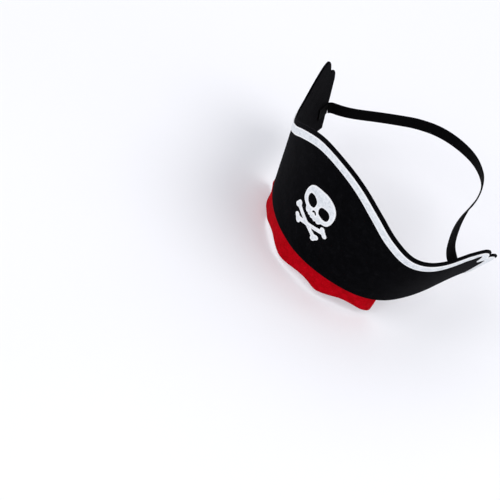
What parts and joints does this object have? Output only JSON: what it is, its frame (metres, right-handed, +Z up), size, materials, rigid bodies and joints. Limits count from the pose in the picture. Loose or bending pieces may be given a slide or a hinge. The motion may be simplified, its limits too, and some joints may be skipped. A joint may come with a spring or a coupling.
{
  "type": "pirate hat",
  "caption": "Child's felt pirate hat front, curved to the brow, with white edging, skull and crossbones, red frill and an elastic strap.",
  "frame": {"origin": "middle of the head opening, level with the lower edge of the black felt", "axes": "+Z up as worn, -Y the front with the badge, +X the viewer's right when the viewer faces the front"},
  "size_m": [0.2405, 0.1963, 0.1558],
  "materials": {
    "black_felt": "pressed craft felt, matt, faint fibre nap",
    "white_felt": "thin white felt, matt, faintly mottled",
    "red_felt": "pressed craft felt, matt",
    "black_elastic": "flat knitted elastic, lengthwise ribs",
    "glue": "set hot-melt glue, slightly cloudy"
  },
  "bodies": {
    "front": {"felt_front_panel": "black_felt", "white_edging_front": "white_felt", "skull_badge": "white_felt", "crossbones_badge": "white_felt", "red_frill": "red_felt", "frill_glue_line": "glue"},
    "left_wing": {"felt_left_wing": "black_felt", "white_edging_left_wing": "white_felt", "left_strap_end": "black_elastic", "left_glue_dab": "glue"},
    "right_wing": {"felt_right_wing": "black_felt", "white_edging_right_wing": "white_felt", "right_strap_end": "black_elastic", "right_glue_dab": "glue"},
    "strap": {"elastic_strap": "black_elastic"}
  },
  "joints": [
    {"name": "left_wing_flex", "type": "hinge", "parent": "front", "child": "left_wing", "pos_m": [-0.08319, -0.04007, 0.00083], "axis": [0.1889, -0.1308, -0.9732], "range_deg": [0, 12], "stiffness_Nm_per_rad": 0.12, "deforming": ["elastic_strap"]},
    {"name": "right_wing_flex", "type": "hinge", "parent": "front", "child": "right_wing", "pos_m": [0.08292, -0.04189, 0.00282], "axis": [0.3234, 0.1761, 0.9297], "range_deg": [0, 12], "stiffness_Nm_per_rad": 0.12},
    {"name": "strap_swing", "type": "hinge", "parent": "front", "child": "strap", "pos_m": [-0.00705, 0.0184, 0.03315], "axis": [0.9927, -0.1168, 0.0312], "range_deg": [-45, 80], "stiffness_Nm_per_rad": 0.06}
  ],
  "couplings": [
    {"joint": "right_wing_flex", "follows": "left_wing_flex", "ratio": 1}
  ]
}
